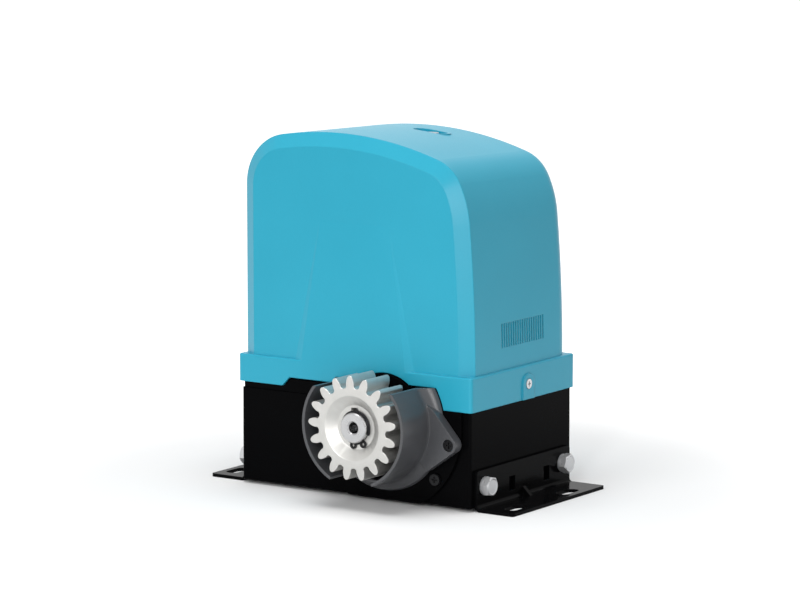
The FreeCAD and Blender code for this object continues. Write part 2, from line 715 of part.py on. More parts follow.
def make_worm_wheel():
    body = new_body("WormWheel")
    teeth, module = value("wheel_teeth"), value("worm_module")
    pitch = value("wheel_pitch_radius")
    centre = ("shaft_x", "shaft_z")
    tip, root = pitch + 0.95 * module, pitch - 1.25 * module
    disc = circle(sketch_on(body, "XZ", (*centre, "-wheel_front")), "0", "0",
                  "wheel_pitch_radius + 0.95 * worm_module")
    pad(body, disc, "wheel_width", False)
    lead_slope = module / (2 * value("worm_pitch_radius"))
    swing = math.degrees(value("wheel_width") / 2 * lead_slope / pitch)
    faces = []
    for start, side in (("wheel_front", -1), ("wheel_back", 1)):
        face = sketch_on(body, "XZ", (*centre, "-%s" % start))
        gap_outline(face, teeth, module, tip, root, value("backlash"),
                    180 - side * swing, 0.3)
        faces.append(face)
    gap = body.newObject("PartDesign::SubtractiveLoft", "Gap")
    gap.Profile = faces[0]
    gap.Sections = faces[1:]
    gap.Ruled = True
    pattern(body, gap, faces[0], teeth)
    bore = circle(sketch_on(body, "XZ", (*centre, "-wheel_front")), "0", "0",
                  "journal_radius")
    pocket(body, bore, "wheel_width", False)
    keyway(body, "wheel_key", "1", "journal_radius", "wheel_front", "wheel_width")
    node("worm_wheel", body)


def make_worm_shaft():
    """The motor shaft with the worm cut on it: one start, right-handed."""
    profile = new_body("WormCore")
    half = sketch_on(profile, "XZ", ("worm_x", 0, "-wheel_y"))
    z = value("shaft_z")
    low, high = z - value("worm_length") / 2, z + value("worm_length") / 2
    root = value("worm_root")
    foot, shoulder = value("low_bearing_z"), value("low_bearing_width") + 1
    journal, tail = value("low_journal"), value("fan_bore")
    flange, shield, end = value("flange_z"), value("shield_z"), value("fan_z") + \
        value("fan_height") + 1
    outline(half, (0, foot), (journal, foot), (journal, foot + shoulder),
            (root, foot + shoulder), (root, flange), (value("rotor_shaft"), flange),
            (value("rotor_shaft"), shield), (journal, shield), (journal, shield + shoulder),
            (tail, shield + shoulder), (tail, end), (0, end))
    revolve(profile, half)
    doc.recompute()
    thread = doc.addObject("Part::Feature", "WormThread")
    thread.Shape = thread_solid(low, high, root)
    thread.Placement = Placement(Vector(value("worm_x"), value("wheel_y"), 0), Rotation())
    node("worm_shaft", fuse("WormShaft", profile, thread))


def thread_solid(low, high, root):
    """A trapezoid swept along the worm's helix; it passes the wheel side at shaft height."""
    module = value("worm_module")
    pitch = math.pi * module
    radius, tip = value("worm_pitch_radius"), value("worm_pitch_radius") + 0.95 * module
    slope = math.tan(math.radians(value("pressure_angle")))
    thick = pitch / 4 - value("backlash") / 4
    below = root - 0.6
    turns = math.floor((high - low) / pitch / 2 - 0.5)
    start = value("shaft_z") - (turns + 0.0) * pitch
    helix = Part.makeHelix(pitch, 2 * turns * pitch, radius)
    helix.translate(Vector(0, 0, start))
    corner = lambda r, side: Vector(r, 0, start + side * (thick + (radius - r) * slope))
    points = [corner(below, -1), corner(tip, -1), corner(tip, 1), corner(below, 1)]
    section = Part.makePolygon(points + points[:1])
    return Part.Wire(helix.Edges).makePipeShell([section], True, True)


def make_output_shaft():
    body = new_body("OutputShaft")
    plan = sketch_on(body, "XY", ("shaft_x", 0, "shaft_z"))
    nose, journal, tail = (value(n) for n in ("nose_radius", "journal_radius", "tail_radius"))
    clip = value("clip_groove")
    clip_y, wide = value("dish_y"), value("clip_width")
    steps = [(0, value("nose_y")), (nose - 0.8, value("nose_y")), (nose, value("nose_y") + 0.8),
             (nose, clip_y - wide), (clip, clip_y - wide), (clip, clip_y), (nose, clip_y),
             (nose, value("hub_back")), (journal, value("hub_back")),
             (journal, value("case_end") - 1), (tail, value("case_end") - 1),
             (tail, value("rear_bearing_end")), (0, value("rear_bearing_end"))]
    outline(plan, *steps)
    revolve(body, plan)
    centre = ("shaft_x", "shaft_z")
    hole = circle(sketch_on(body, "XZ", (*centre, "-nose_y")), "0", "0", "nose_hole")
    pocket(body, hole, "nose_hole_depth", False)
    mouth = sketch_on(body, "XY", ("shaft_x", 0, "shaft_z"))
    outline(mouth, (0, value("nose_y") - 1), (value("nose_hole") + 1, value("nose_y") - 1),
            (value("nose_hole") + 1, value("nose_y")), (value("nose_hole"), value("nose_y") + 1),
            (0, value("nose_y") + 1))
    revolve(body, mouth, "PartDesign::Groove")
    keyway(body, "pinion_key", "key_sink", "nose_radius", "dish_y + 4",
           "hub_back - dish_y - 8")
    keyway(body, "wheel_key", "key_sink + 0.5", "journal_radius", "wheel_front + 1",
           "wheel_width - 2")
    node("output_shaft", body)


def make_keys():
    spots = [("pinion_key", "pinion_key", "nose_radius - key_sink", "dish_y + 4",
              "hub_back - dish_y - 8", "nose_radius + pinion_key / 2"),
             ("wheel_key", "wheel_key", "journal_radius - key_sink - 0.5", "wheel_front + 1",
              "wheel_width - 2", "journal_radius + wheel_key / 2")]
    for label, wide, low, start, length, high in spots:
        key = box("Key", (wide, length, "(%s) - (%s)" % (high, low)),
                  ("shaft_x - %s / 2" % wide, start, "shaft_z + " + low))
        node(label, key)


def ring(label, outer, inner, length, corner, along, keep=True):
    """A plain ring, such as a bearing, a seal or a sleeve."""
    solid = cylinder("Ring", outer, length, corner, along)
    hole = cylinder("RingHole", inner, length, corner, along)
    made = cut("RingCut", solid, hole)
    return node(label, made) if keep else made


def make_output_rings():
    y_axis = lambda start: ("shaft_x", start, "shaft_z")
    ring("front_bearing", "front_bearing_radius", "journal_radius + running_gap",
         "front_bearing_width", y_axis("bearing_y"), "y")
    ring("rear_bearing", "rear_bearing_radius", "tail_radius + running_gap",
         "rear_bearing_width", y_axis("case_end"), "y")
    ring("oil_seal", "seal_radius", "journal_radius + running_gap", "seal_width",
         y_axis("hub_face"), "y")
    ring("wheel_spacer", "journal_radius + spacer_wall", "journal_radius",
         "spacer_length", y_axis("bearing_back + float_gap"), "y")
    clip = ring("clip", "clip_radius", "clip_groove", "clip_width",
                y_axis("dish_y - clip_width"), "y", keep=False)
    lugs = [cylinder("ClipLug", "clip_lug", "clip_width",
                     ("shaft_x + clip_radius * sin(%g)" % angle, "dish_y - clip_width",
                      "shaft_z - clip_radius * cos(%g)" % angle), "y")
            for angle in (CLIP_ANGLE - LUG_SPREAD, CLIP_ANGLE + LUG_SPREAD)]
    gap = box("ClipGap", ("2 * clip_radius", "clip_width", "clip_gap"),
              ("0", "0", "-clip_gap / 2"))
    turn = Placement(Vector(), Rotation(Vector(0, 1, 0), 90 - CLIP_ANGLE))
    turned_gap = group("ClipGapTurned", [gap])
    turned_gap.Placement = turn
    for axis, text in zip("xyz", ("shaft_x", "dish_y - clip_width", "shaft_z")):
        turned_gap.setExpression("Placement.Base." + axis, named(text))
    node("shaft_circlip", cut("Clip", fuse("ClipSolid", clip, *lugs), turned_gap))


# ------------------------------------------------------------------- casings

def boss_sides(side):
    """Plan of the boss inside the base's rim that a cover screw threads into."""
    outer, inner = "half_x - rim_inset", "half_x - rim_inset - boss_depth"
    low, high = (inner, outer) if side > 0 else ("-(%s)" % outer, "-(%s)" % inner)
    return low, "base_y + pad_y - boss_width / 2", high, "base_y + pad_y + boss_width / 2"


def make_base():
    body = new_body("Base")
    rim = rectangle(sketch_on(body, "XY", (0, 0, "floor_z")), "-half_x + rim_inset",
                    "base_y - half_y + rim_inset", "half_x - rim_inset",
                    "base_y + half_y - rim_inset")
    pad(body, rim, "rim_top - floor_z")
    round_edges(body, "rim_corner", is_upright)
    plan = rectangle(sketch_on(body, "XY", (0, 0, "base_gap")), "-half_x",
                     "base_y - half_y", "half_x", "base_y + half_y")
    pad(body, plan, "ledge_height - base_gap")
    round_edges(body, "base_corner", lambda e: is_upright(e)
                and abs(e.Vertexes[0].X) > value("half_x") - 0.01)
    round_edges(body, "base_edge", lambda e: all_vertices(e, "z", value("base_gap")))
    room = rectangle(sketch_on(body, "XY", (0, 0, "rim_top")), "-half_x + base_wall",
                     "base_y - half_y + base_wall", "half_x - base_wall",
                     "base_y + half_y - base_wall")
    pocket(body, room, "rim_top - floor_z")
    window = circle(sketch_on(body, "XZ", ("shaft_x", "shaft_z", "-(front_y - 1)")),
                    "0", "0", "gear_case_radius + rim_gap")
    pocket(body, window, "2 * base_wall", False)
    for side in (-1, 1):
        ear = sketch_on(body, "XY", (0, 0, "ledge_height - boss_width"))
        rectangle(ear, *boss_sides(side))
        pad(body, ear, "pad_z + boss_width / 2 - ledge_height + boss_width")
        thread = circle(sketch_on(body, "YZ", (0, 0, "%d * half_x" % side)),
                        "base_y + pad_y", "pad_z", "screw_shank")
        pocket(body, thread, "1.5 * boss_depth", side < 0)
        for end in (-1, 1):
            hole = circle(sketch_on(body, "YZ", (0, 0, "%d * half_x" % side)),
                          "base_y + %d * bolt_y" % end, "bolt_z", "bolt_radius + rim_gap")
            pocket(body, hole, "base_wall + 1", side < 0)
    gland = circle(sketch_on(body, "XY", (0, 0, "floor_z")), "gland_x", "gland_y",
                   "gland_neck")
    pocket(body, gland, "base_wall + 1")
    node("base_housing", body)


def make_gearbox():
    """The cast case round the worm wheel, its worm tower and the motor's seat."""
    centre = ("shaft_x", "case_y", "shaft_z")
    tower_at = lambda z: ("worm_x", "wheel_y", z)
    case = cylinder("Case", "gear_case_radius", "case_end + case_back - case_y", centre, "y")
    boss = cylinder("RearBoss", "rear_bearing_radius + boss_wall",
                    "rear_bearing_end + wheel_gap - case_y", centre, "y")
    tower = cylinder("Tower", "tower_radius", "flange_z - floor_z", tower_at("floor_z"))
    cup = cylinder("MotorCup", "motor_radius", "cup_height", tower_at("flange_z"))
    foot = box("CaseFoot", ("case_foot_width", "case_end - case_y", "case_foot_height"),
               ("shaft_x - case_foot_width / 2", "case_y", "floor_z"))
    pads = box("DeckPads", ("deck_pad_width", "deck_pad_depth", "deck_z - shaft_z"),
               ("shaft_x - deck_pad_shift", "case_y + deck_overhang", "shaft_z"))
    guide = cylinder("ReleaseGuide", "guide_radius", "guide_height",
                     ("port_x", "port_at_y", "shaft_z + guide_lift"))
    solid = fuse("CaseSolid", case, boss, tower, cup, foot, pads, guide)
    seat_gap = "rear_bearing_width + 1"
    tools = [
        cylinder("Chamber", "chamber_radius", "case_end - case_y + 1",
                 ("shaft_x", "case_y - 1", "shaft_z"), "y"),
        cylinder("RearSeat", "rear_bearing_radius", seat_gap,
                 ("shaft_x", "case_end - 1", "shaft_z"), "y"),
        cylinder("WormBore", "worm_bore", "high_bearing_z - low_bearing_z - low_bearing_width",
                 tower_at("low_bearing_z + low_bearing_width")),
        cylinder("LowSeat", "low_bearing_radius", "low_bearing_width + 1",
                 tower_at("low_bearing_z")),
        cylinder("LowRelief", "low_journal + 2", "wheel_gap", tower_at(
            "low_bearing_z - wheel_gap")),
        cylinder("HighSeat", "rear_bearing_radius", "flange_z + flange_thick - high_bearing_z",
                 tower_at("high_bearing_z")),
        cylinder("CupRoom", "motor_radius - motor_wall", "cup_height",
                 tower_at("flange_z + flange_thick")),
        cylinder("GuideBore", "spindle_radius + running_gap", "guide_height + guide_lift + 1",
                 ("port_x", "port_at_y", "shaft_z")),
    ]
    node("gearbox_housing", cut("Gearbox", solid, *tools))


def lid_body():
    """The round lid that closes the gearbox and stands proud of the base's front."""
    body = new_body("GearboxLid")
    centre = ("shaft_x", "shaft_z")
    disc = circle(sketch_on(body, "XZ", (*centre, "-lid_y")), "0", "0", "gear_case_radius")
    pad(body, disc, "case_y - lid_y", False)
    hub = circle(sketch_on(body, "XZ", (*centre, "-hub_face")), "0", "0", "hub_disc_radius")
    pad(body, hub, "lid_y - hub_face", False)
    face = sketch_on(body, "XZ", (*centre, "-boss_face"))
    ring_r, top = value("seat_ring"), value("seat_top") - value("shaft_z")
    side = math.sqrt(ring_r ** 2 - top ** 2)
    outline(face, (-side, top), ((0, -ring_r), (side, top)))
    pad(body, face, "lid_y - boss_face", False)
    plate = sketch_on(body, "XZ", (*centre, "-boss_face"))
    big = value("boss_radius")
    low = value("base_gap") - value("shaft_z")
    high = value("ledge_height") - value("shaft_z")
    foot = math.sqrt(big ** 2 - low ** 2)
    turn = math.degrees(math.atan2(low, foot)) / 2
    outline(plate, (-big, high), (-big, 0), (polar(big, 180 - turn), (-foot, low)),
            (foot, low), (polar(big, turn), (big, 0)), (big, high))
    pad(body, plate, "boss_height", False)
    neck = circle(sketch_on(body, "XZ", (*centre, "-case_y")), "0", "0",
                  "front_bearing_radius + boss_wall")
    pad(body, neck, "bearing_back - case_y", False)
    seat = circle(sketch_on(body, "XZ", (*centre, "-bearing_y")), "0", "0",
                  "front_bearing_radius")
    pocket(body, seat, "front_bearing_width + 1", False)
    seal = circle(sketch_on(body, "XZ", (*centre, "-hub_face")), "0", "0", "seal_radius")
    pocket(body, seal, "seal_width", False)
    bore = circle(sketch_on(body, "XZ", (*centre, "-hub_face")), "0", "0",
                  "journal_radius + boss_wall")
    pocket(body, bore, "bearing_back - hub_face", False)
    low = math.radians(value("lid_screw_angle"))
    reach = value("lid_screw_circle")
    spots = [(side * reach * math.cos(low), -reach * math.sin(low)) for side in (1, -1)]
    lug_x = value("lug_x")
    spots += [(lug_x, value("lug_z")), (-lug_x, value("lug_z"))]
    holes = sketch_on(body, "XZ", (*centre, "-boss_face"))
    for x, z in spots:
        holes.addGeometry(Part.Circle(Vector(x, z, 0), Vector(0, 0, 1), value("screw_shank")))
    pocket(body, holes, "boss_height + 0.5", False)
    node("gearbox_cover", body)


def guard_profile(sketch, inset, front, seat):
    """Half section of the guard: a tube that flares out to its foot."""
    tube, foot = value("guard_radius") - inset, value("guard_foot") - inset
    flare = seat - value("guard_flare") + inset * 0.4
    outline(sketch, (0, front), (tube, front), (tube, flare),
            ((tube + 1.6, flare + 4.2), (foot - 1.2, seat - 2.4)), (foot, seat), (0, seat))
    return sketch


def make_guard():
    body = new_body("Guard")
    front, seat = value("guard_front"), value("boss_face")
    revolve(body, guard_profile(sketch_on(body, "XY", ("shaft_x", 0, "shaft_z")), 0,
                                front, seat))
    for side in (1, -1):
        ear = sketch_on(body, "XZ", ("shaft_x", "shaft_z", "-boss_face"))
        x, z, r = value("lug_x"), value("lug_z"), value("lug_round")
        outline(ear, (side * 36, 20), (side * 48, 12), (side * (x + 0.8 * r), z + 0.6 * r),
                ((side * (x + r), z - 0.1 * r), (side * (x + 0.75 * r), z - 0.66 * r)),
                (side * 42, -32), (side * 30, -20))
        pad(body, ear, "lug_thick", True)
    room = guard_profile(sketch_on(body, "XY", ("shaft_x", 0, "shaft_z")),
                         value("guard_wall"), front - 1, seat + 0.01)
    revolve(body, room, "PartDesign::Groove")
    top = rectangle(sketch_on(body, "XZ", ("shaft_x", 0, "-boss_face - 1")),
                    "-2 * guard_radius", "guard_top", "2 * guard_radius",
                    "guard_top + guard_radius")
    pocket(body, top, "pinion_reach + wheel_width", True)
    drain = sketch_on(body, "XZ", ("shaft_x", "shaft_z", "-guard_front + 1"))
    reach = value("guard_radius") + 5
    outline(drain, (0, -5), polar(reach, 243), (polar(reach * 1.1, 268), polar(reach, 293)))
    pocket(body, drain, "drain_depth + 1", False)
    holes = sketch_on(body, "XZ", ("shaft_x", "shaft_z", "-boss_face + lug_thick"))
    sinks = sketch_on(body, "XZ", ("shaft_x", "shaft_z", "-boss_face + lug_thick"))
    for side in (1, -1):
        spot = Vector(side * value("lug_x"), value("lug_z"), 0)
        holes.addGeometry(Part.Circle(spot, Vector(0, 0, 1), 2.2))
        sinks.addGeometry(Part.Circle(spot, Vector(0, 0, 1), value("guard_screw_head") + 0.3))
    pocket(body, holes, "lug_thick + 1", False)
    pocket(body, sinks, "lug_sink", False)
    node("pinion_guard", body)


# ---------------------------------------------------------------- fasteners

def pan_screw(head, head_height, shank, length, seat, along, flip):
    """A pan-head screw with a cross recess; seat is where its head bears."""
    x, y, z = seat
    shift = lambda back: [
        "%s %s" % (c, back) if a == along else c for a, c in zip("xyz", (x, y, z))]
    if flip > 0:
        head_at, shank_at = shift(""), shift("- (%s)" % length)
        slot_at = shift("+ (%s) - 1.3" % head_height)
    else:
        head_at, shank_at, slot_at = shift("- (%s)" % head_height), shift(""), \
            shift("- (%s) - 0.2" % head_height)
    parts = [cylinder("Head", head, head_height, head_at, along),
             cylinder("Shank", shank, length, shank_at, along)]
    wide, deep, thin = "%s * 1.1" % head, "1.5", "%s * 0.26" % head
    arms = []
    for tall in (0, 1):
        size = {"x": deep, "y": deep, "z": deep}
        others = [a for a in "xyz" if a != along]
        size[others[tall]] = wide
        size[others[1 - tall]] = thin
        corner = [c if a == along else "%s - (%s) / 2" % (c, size[a])
                  for a, c in zip("xyz", slot_at)]
        arms.append(box("Cross", (size["x"], size["y"], size["z"]), corner))
    return cut("Screw", fuse("ScrewBlank", *parts), *arms)


def make_screws():
    screws = []
    for side in (1, -1):
        screws.append(pan_screw("screw_head", "screw_head_height", "screw_shank",
                                "cover_screw_length",
                                ("%d * screw_seat" % side, "base_y + pad_y", "pad_z"),
                                "x", side))
    node("cover_screws", group("CoverScrews", screws))
    seat = "boss_face - lug_thick + lug_sink"
    guard = [pan_screw("guard_screw_head", "screw_head_height", "screw_shank",
                       "lug_thick - lug_sink + boss_height",
                       ("shaft_x + %d * lug_x" % side, seat, "shaft_z + lug_z"), "y", -1)
             for side in (1, -1)]
    node("guard_screws", group("GuardScrews", guard))
    drop = "shaft_z - lid_screw_circle * sin(lid_screw_angle)"
    lid = [pan_screw("guard_screw_head", "screw_head_height", "screw_shank", "boss_height",
                     ("shaft_x + %d * lid_screw_circle * cos(lid_screw_angle)" % side,
                      "boss_face", drop), "y", -1) for side in (1, -1)]
    node("lid_screws", group("LidScrews", lid))


# --------------------------------------------------------------------- feet

def make_foot(label, side):
    body = new_body(label)
    section = sketch_on(body, "XZ", (0, 0, "-(base_y - foot_length / 2)"))
    t, bend, high = value("foot_thick"), value("foot_bend"), value("foot_height")
    inner, outer = side * value("half_x"), side * value("foot_x")
    tip = side * (value("half_x") + value("foot_reach"))
    turn = math.sqrt(0.5)
    big = bend + t
    heel = outer + side * bend
    outline(section, (inner, high), (inner, big),
            ((heel - side * big * turn, big - big * turn), (heel, 0)),
            (tip, 0), (tip, t), (heel, t),
            ((heel - side * bend * turn, big - bend * turn), (outer, big)), (outer, high))
    pad(body, section, "foot_length", False)
    corners = lambda e: (len(e.Vertexes) == 2 and abs(e.Vertexes[0].Y - e.Vertexes[1].Y) < 0.01
                         and (all_vertices(e, "z", high) or all_vertices(e, "x", tip)))
    round_edges(body, "foot_corner", lambda e: corners(e) and e.Length < t + 0.1)
    for end, shift in ((-1, "slot_front"), (1, "slot_rear")):
        hole = sketch_on(body, "YZ", (0, 0, "%d * half_x" % side))
        circle(hole, "base_y + %d * bolt_y" % end, "bolt_z", "bolt_radius + rim_gap")
        pocket(body, hole, "foot_thick", side > 0)
        slot = sketch_on(body, "XY", (0, 0, "foot_thick"))
        y = value("base_y") + value(shift)
        x = side * (value("half_x") + value("slot_x"))
        r, run = value("slot_half_width"), value("slot_length") / 2 - value("slot_half_width")
        outline(slot, (x - r, y - run), ((x, y - run - r), (x + r, y - run)),
                (x + r, y + run), ((x, y + run + r), (x - r, y + run)))
        pocket(body, slot, "foot_thick")
    for shift in ("window_front", "window_rear"):
        window = sketch_on(body, "YZ", (0, 0, "%d * half_x" % side))
        rectangle(window, "base_y + %s - window_width / 2" % shift, "window_low",
                  "base_y + %s + window_width / 2" % shift, "window_low + window_height")
        pocket(body, window, "foot_thick", side > 0)
    gusset = sketch_on(body, "XZ", (0, 0, "-(base_y - gusset_width / 2)"))
    size, root = value("gusset_size"), 0.5 * t
    outline(gusset, (outer - side * root, root), (outer + side * size, root),
            (outer + side * size, t), (outer, t + size), (outer - side * root, t + size))
    pad(body, gusset, "gusset_width", False)
    node(label, body)


def make_foot_bolts():
    """M8 hexagon screws with their heads on the feet, washers and nuts inside the base."""
    bolts, washers, nuts = [], [], []
    ends = {
        "head": ("foot_x", "bolt_head"),
        "washer": ("half_x - base_wall - washer_thick", "washer_thick"),
        "nut": ("half_x - base_wall - washer_thick - nut_height", "nut_height"),
        "shank": ("half_x - base_wall - washer_thick - nut_height - bolt_end",
                  "foot_thick + base_wall + washer_thick + nut_height + bolt_end"),
    }
    for side in (1, -1):
        for end in (-1, 1):
            def at(name):
                low, length = ends[name]
                x = low if side > 0 else "-(%s) - (%s)" % (low, length)
                return x, "base_y + %d * bolt_y" % end, "bolt_z"
            blank = hexagon("BoltHead", "bolt_flats", "bolt_head", at("head"), "x")
            crown = cone("HeadCrown", side, at("head"))
            head = common("HeadChamfered", blank, crown)
            shank = cylinder("BoltShank", "bolt_radius", ends["shank"][1], at("shank"), "x")
            bolts.append(fuse("Bolt", head, shank))
            washers.append(ring("w", "washer_radius", "bolt_radius", "washer_thick",
                                at("washer"), "x", keep=False))
            nut = hexagon("Nut", "bolt_flats", "nut_height", at("nut"), "x")
            hole = cylinder("NutHole", "bolt_radius", "nut_height", at("nut"), "x")
            nuts.append(cut("NutCut", nut, hole))
    node("foot_bolts", group("FootBolts", bolts))
    node("foot_washers", group("FootWashers", washers))
    node("foot_nuts", group("FootNuts", nuts))


# -------------------------------------------------------------------- motor

def make_motor():
    axis = lambda z: ("worm_x", "wheel_y", z)
    ring("worm_low_bearing", "low_bearing_radius", "low_journal + running_gap",
         "low_bearing_width", axis("low_bearing_z"), "z")
    ring("worm_high_bearing", "rear_bearing_radius", "worm_root + running_gap",
         "rear_bearing_width", axis("high_bearing_z"), "z")
    ring("motor_stator", "motor_radius", "rotor_radius + air_gap", "stator_height",
         axis("stator_z"), "z")
    coils = [ring("coil", "motor_radius - motor_wall - 1", "rotor_radius + winding_gap",
                  "winding_height", axis(z), "z", keep=False)
             for z in ("stator_z - winding_height", "rotor_z")]
    node("stator_windings", group("Windings", coils))
    ring("rotor_core", "rotor_radius", "rotor_shaft", "stator_height", axis("stator_z"), "z")
    shield = fuse("ShieldSolid",
                  cylinder("ShieldCup", "motor_radius", "shield_height + shield_thick",
                           axis("rotor_z")),
                  cylinder("ShieldBoss", "low_bearing_radius + motor_wall",
                           "low_bearing_width + wheel_gap", axis("shield_z")))
    node("motor_end_shield", cut(
        "Shield", shield,
        cylinder("ShieldRoom", "motor_radius - motor_wall", "shield_height",
                 axis("rotor_z")),
        cylinder("ShieldSeat", "low_bearing_radius", "low_bearing_width + 1",
                 axis("shield_z - 1")),
        cylinder("ShieldHole", "low_journal + 1.5", "2 * low_bearing_width",
                 axis("shield_z"))))
    ring("motor_bearing", "low_bearing_radius", "low_journal + running_gap",
         "low_bearing_width", axis("shield_z"), "z")
    make_fan()


def make_fan():
    body = new_body("Fan")
    centre = ("worm_x", "wheel_y", "fan_z")
    disc = circle(sketch_on(body, "XY", centre), "0", "0", "fan_radius")
    pad(body, disc, "fan_disc")
    hub = circle(sketch_on(body, "XY", centre), "0", "0", "fan_hub")
    pad(body, hub, "fan_height")
    blade = sketch_on(body, "XY", centre)
    rectangle(blade, "fan_hub - 2", "-fan_disc / 2", "fan_radius - 0.5", "fan_disc / 2")
    blades = pad(body, blade, "fan_height")
    pattern(body, blades, blade, value("fan_blades"))
    bore = circle(sketch_on(body, "XY", centre), "0", "0", "fan_bore")
    pocket(body, bore, "fan_height", True)
    node("cooling_fan", body)


# ---------------------------------------------------------------- electrics

def make_electrics():
    """The deck on the gearbox and what it carries: transformer, capacitor and board."""
    deck = box("Deck", ("deck_right - deck_left", "deck_end - deck_front", "deck_thick"),
               ("deck_left", "deck_front", "deck_z"))
    legs = [box("DeckLeg", ("leg_width", "deck_thick", "deck_z - floor_z"),
                (x, "deck_end - deck_thick - board_edge", "floor_z"))
            for x in ("deck_left", "deck_right - leg_width - leg_inset")]
    relief = cylinder("DeckRelief", "guide_radius + boss_wall", "4 * deck_thick",
                      ("port_x", "port_at_y", "deck_z - deck_thick"))
    node("component_deck", cut("DeckPlate", fuse("DeckSolid", deck, *legs), relief))
    core_at = ("core_x", "core_y", "deck_top + coil_side")
    node("transformer_core", box("Core", ("core_width", "core_depth", "core_height"), core_at))
    coil = box("CoilBlock", ("core_width + 2 * coil_side", "coil_depth",
                             "core_height + 2 * coil_side"),
               ("core_x - coil_side", "coil_y", "deck_top"))
    slot = box("CoilSlot", ("core_width", "coil_depth", "core_height"),
               ("core_x", "coil_y", "deck_top + coil_side"))
    node("transformer_winding", cut("Coil", coil, slot))
    node("run_capacitor", cylinder(
        "Capacitor", "(board_y - core_y - core_depth) / 2 - capacitor_gap",
        "crown_height - capacitor_room - deck_top",
        ("deck_right - capacitor_right", "capacitor_y", "deck_top")))
    node("control_board", box(
        "Board", ("deck_right - board_right + half_x - board_left", "board_thick",
                  "crown_height - board_room - deck_top"),
        ("board_left - half_x", "board_y", "deck_top")))
    grid = [(column, row) for column in (0, 1) for row in (0, 1)]
    relays = [box("Relay", ("relay_width", "relay_depth", "relay_height"),
                  ("part_x + %d * (relay_width + relay_gap)" % column, "board_y - relay_depth",
                   "deck_top + relay_lift + %d * (relay_height + relay_gap)" % row))
              for column, row in grid]
    node("board_relays", group("Relays", relays))
    rows = [box("Terminal", ("terminal_length", "terminal_depth", "terminal_height"),
                ("part_x", "board_y - terminal_depth",
                 "deck_top + terminal_lift + %d * (terminal_height + relay_gap)" % row))
            for row in (0, 1)]
    node("terminal_blocks", group("Terminals", rows))
    node("limit_sensor", box("Sensor", ("sensor_width", "sensor_depth", "sensor_height"),
                             ("deck_left", "deck_front", "deck_top")))


def make_small_parts():
    gland_at = lambda z: ("gland_x", "gland_y", z)
    gland = fuse("GlandSolid",
                 cylinder("GlandTop", "gland_flange", "gland_lip", gland_at("floor_z")),
                 cylinder("GlandNeck", "gland_neck", "base_wall", gland_at("base_gap")))
    hole = cylinder("GlandHole", "gland_hole", "base_gap + base_wall + 2 * gland_lip",
                    gland_at("0"))
    node("cable_grommet", cut("Gland", gland, hole))
    port_at = lambda z: ("port_x", "port_at_y", z)
    spindle = fuse("SpindleSolid",
                   cylinder("SpindleRod", "spindle_radius",
                            "port_z - spindle_gap - shaft_z - spindle_foot",
                            port_at("shaft_z + spindle_foot")),
                   cylinder("SpindleCollar", "spindle_collar", "collar_height",
                            port_at("shaft_z + guide_lift + guide_height + float_gap")))
    socket = hexagon("SpindleSocket", "spindle_socket", "socket_depth + 1",
                     port_at("port_z - spindle_gap - socket_depth"))
    node("release_spindle", cut("Spindle", spindle, socket))
    plug = fuse("PlugSolid",
                cylinder("PlugStem", "plug_radius - rim_gap / 3", "plug_length",
                         port_at("port_floor - plug_length")),
                cylinder("PlugHead", "plug_radius + 0.5", "port_depth / 2",
                         port_at("port_floor")))
    slot = box("PlugSlot", ("1.5 * plug_radius", "port_depth / 2", "port_depth / 2"),
               ("port_x - 0.75 * plug_radius", "port_at_y - port_depth / 4",
                "port_floor + port_depth / 4"))
    node("release_plug", cut("Plug", plug, slot))


make_cover()
make_base()
lid_body()
make_gearbox()
make_guard()
make_pinion()
make_worm_wheel()
make_worm_shaft()
make_output_shaft()
make_keys()
make_output_rings()
make_screws()
make_foot("right_foot", 1)
make_foot("left_foot", -1)
make_foot_bolts()
make_motor()
make_electrics()
make_small_parts()
doc.recompute()

for thing in doc.Objects:
    if "Invalid" in thing.State or "Error" in thing.State:
        raise RuntimeError("%s failed: %s" % (thing.Label, thing.State))

os.makedirs("parts", exist_ok=True)
for thing in NODES:
    shape = thing.Shape
    if shape.isNull() or not shape.isValid() or not shape.Solids:
        raise RuntimeError("bad shape in " + thing.Label)
    shape.exportStep("parts/%s.step" % thing.Label)
    print(thing.Label, len(shape.Solids), "solids", round(shape.Volume / 1000, 1), "cm3")
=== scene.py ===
import json
import math

import bpy
from mathutils import Euler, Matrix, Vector


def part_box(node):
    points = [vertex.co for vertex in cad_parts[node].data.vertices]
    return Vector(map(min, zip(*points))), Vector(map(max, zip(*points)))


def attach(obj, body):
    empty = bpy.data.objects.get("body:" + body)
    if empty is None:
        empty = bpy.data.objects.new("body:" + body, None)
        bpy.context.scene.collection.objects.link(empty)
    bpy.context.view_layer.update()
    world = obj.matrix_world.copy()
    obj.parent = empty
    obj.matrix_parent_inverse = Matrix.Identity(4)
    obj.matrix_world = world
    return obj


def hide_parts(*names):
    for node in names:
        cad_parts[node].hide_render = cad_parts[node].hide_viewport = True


# The looks of a sliding gate motor: a moulded cover on a black cast base, with the
# rack pinion and its guard on the front.  Metres, +Z up, -Y is the pinion side.

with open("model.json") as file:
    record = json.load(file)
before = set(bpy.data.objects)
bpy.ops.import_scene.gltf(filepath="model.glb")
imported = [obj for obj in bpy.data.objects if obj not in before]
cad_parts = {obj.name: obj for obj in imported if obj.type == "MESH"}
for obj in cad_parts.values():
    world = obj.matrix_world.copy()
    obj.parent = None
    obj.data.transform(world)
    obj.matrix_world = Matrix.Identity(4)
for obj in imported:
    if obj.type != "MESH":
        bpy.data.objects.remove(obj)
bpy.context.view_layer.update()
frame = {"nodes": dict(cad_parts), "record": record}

# A point on the output shaft's axis, which runs along Y.
OUTPUT_AXIS = (0.0285, 0.0, 0.0605)

